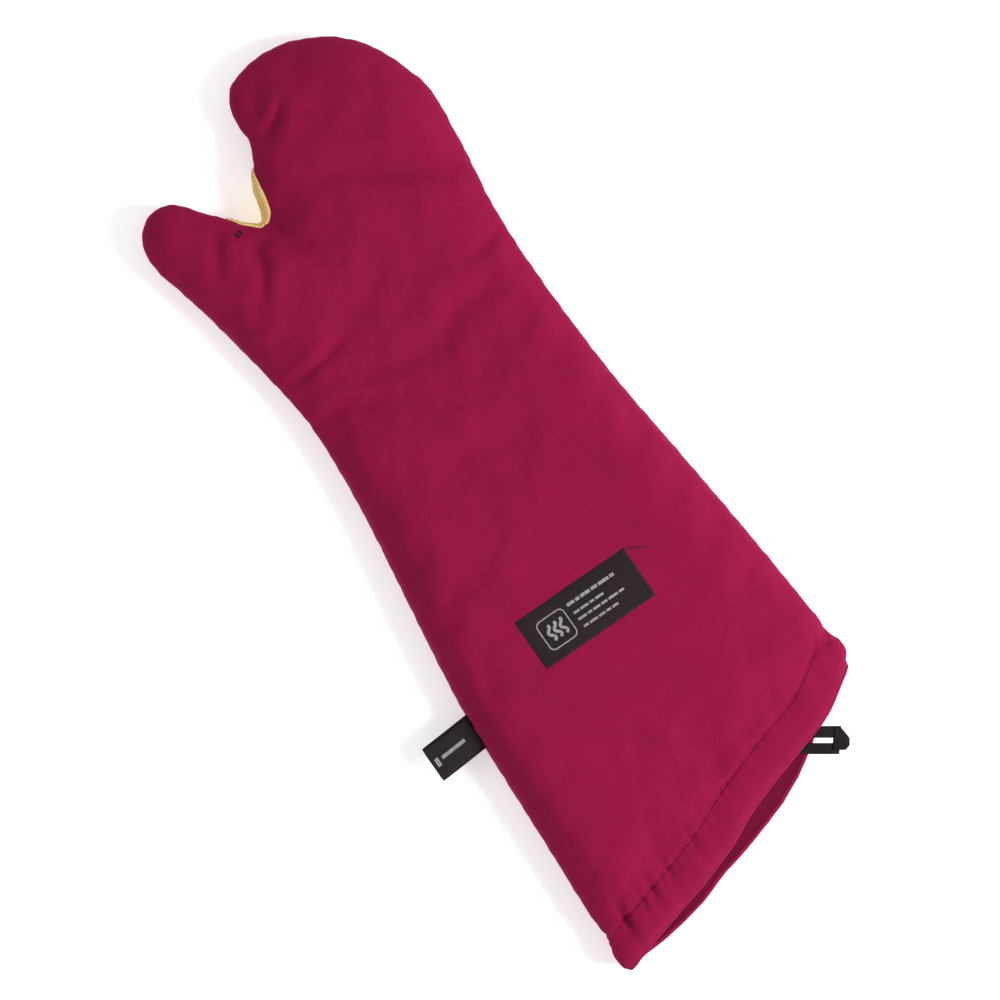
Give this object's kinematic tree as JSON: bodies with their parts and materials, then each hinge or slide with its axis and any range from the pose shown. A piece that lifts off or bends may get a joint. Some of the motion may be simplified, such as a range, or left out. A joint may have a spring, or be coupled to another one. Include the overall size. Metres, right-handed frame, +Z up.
{
  "type": "oven mitt",
  "caption": "Elbow-length padded heat mitt with one finger pocket and a thumb, a slanted open cuff, a crotch guard, a woven label, a side tag and a hanging loop.",
  "frame": {"origin": "on the surface the mitt lies on, under the middle of the whole mitt's box", "axes": "+Y up the sleeve to the fingertips, +Z up through the labelled face, +X towards the little-finger side, so the thumb is towards -X"},
  "size_m": [0.254, 0.6062, 0.0392],
  "materials": {
    "shell_cloth": "twill weave, matt",
    "barrier_film": "thin coated film, matt",
    "padding_felt": "needled felt",
    "lining_cloth": "brushed cotton",
    "guard_cloth": "tough plain weave",
    "label_weave": "fine damask weave",
    "label_thread": "sewing thread",
    "tag_tape": "satin tape",
    "loop_tape": "twill tape",
    "shell_thread": "sewing thread"
  },
  "bodies": {
    "sleeve": {"shell_top_sleeve": "shell_cloth", "barrier_top_sleeve": "barrier_film", "padding_top_sleeve": "padding_felt", "lining_top_sleeve": "lining_cloth", "shell_bottom_sleeve": "shell_cloth", "barrier_bottom_sleeve": "barrier_film", "padding_bottom_sleeve": "padding_felt", "lining_bottom_sleeve": "lining_cloth", "hem_top": "shell_cloth", "hem_bottom": "shell_cloth", "hem_thread": "shell_thread", "web_guard": "guard_cloth", "label": "label_weave", "label_thread": "label_thread"},
    "finger_pocket": {"shell_top_fingers": "shell_cloth", "barrier_top_fingers": "barrier_film", "padding_top_fingers": "padding_felt", "lining_top_fingers": "lining_cloth", "shell_bottom_fingers": "shell_cloth", "barrier_bottom_fingers": "barrier_film", "padding_bottom_fingers": "padding_felt", "lining_bottom_fingers": "lining_cloth"},
    "thumb_pocket": {"shell_top_thumb": "shell_cloth", "barrier_top_thumb": "barrier_film", "padding_top_thumb": "padding_felt", "lining_top_thumb": "lining_cloth", "shell_bottom_thumb": "shell_cloth", "barrier_bottom_thumb": "barrier_film", "padding_bottom_thumb": "padding_felt", "lining_bottom_thumb": "lining_cloth"},
    "side_tag": {"side_tag": "tag_tape"},
    "hanging_loop": {"hanging_loop": "loop_tape"}
  },
  "joints": [
    {"name": "finger_fold", "type": "hinge", "parent": "sleeve", "child": "finger_pocket", "pos_m": [0.01251, 0.23199, 0.019], "axis": [0.8988, -0.4384, 0], "range_deg": [0, 50], "stiffness_Nm_per_rad": 0.05},
    {"name": "thumb_fold", "type": "hinge", "parent": "sleeve", "child": "thumb_pocket", "pos_m": [-0.03149, 0.22599, 0.019], "axis": [0.7022, 0.712, 0], "range_deg": [0, 40], "stiffness_Nm_per_rad": 0.03},
    {"name": "tag_flex", "type": "hinge", "parent": "sleeve", "child": "side_tag", "pos_m": [-0.09479, -0.12051, 0.019], "axis": [0.0469, 0.9989, 0], "range_deg": [-30, 75], "stiffness_Nm_per_rad": 0.001},
    {"name": "loop_flex", "type": "hinge", "parent": "sleeve", "child": "hanging_loop", "pos_m": [0.07151, -0.24071, 0.034], "axis": [-0.8973, -0.4415, 0], "range_deg": [-40, 70], "stiffness_Nm_per_rad": 0.001}
  ]
}
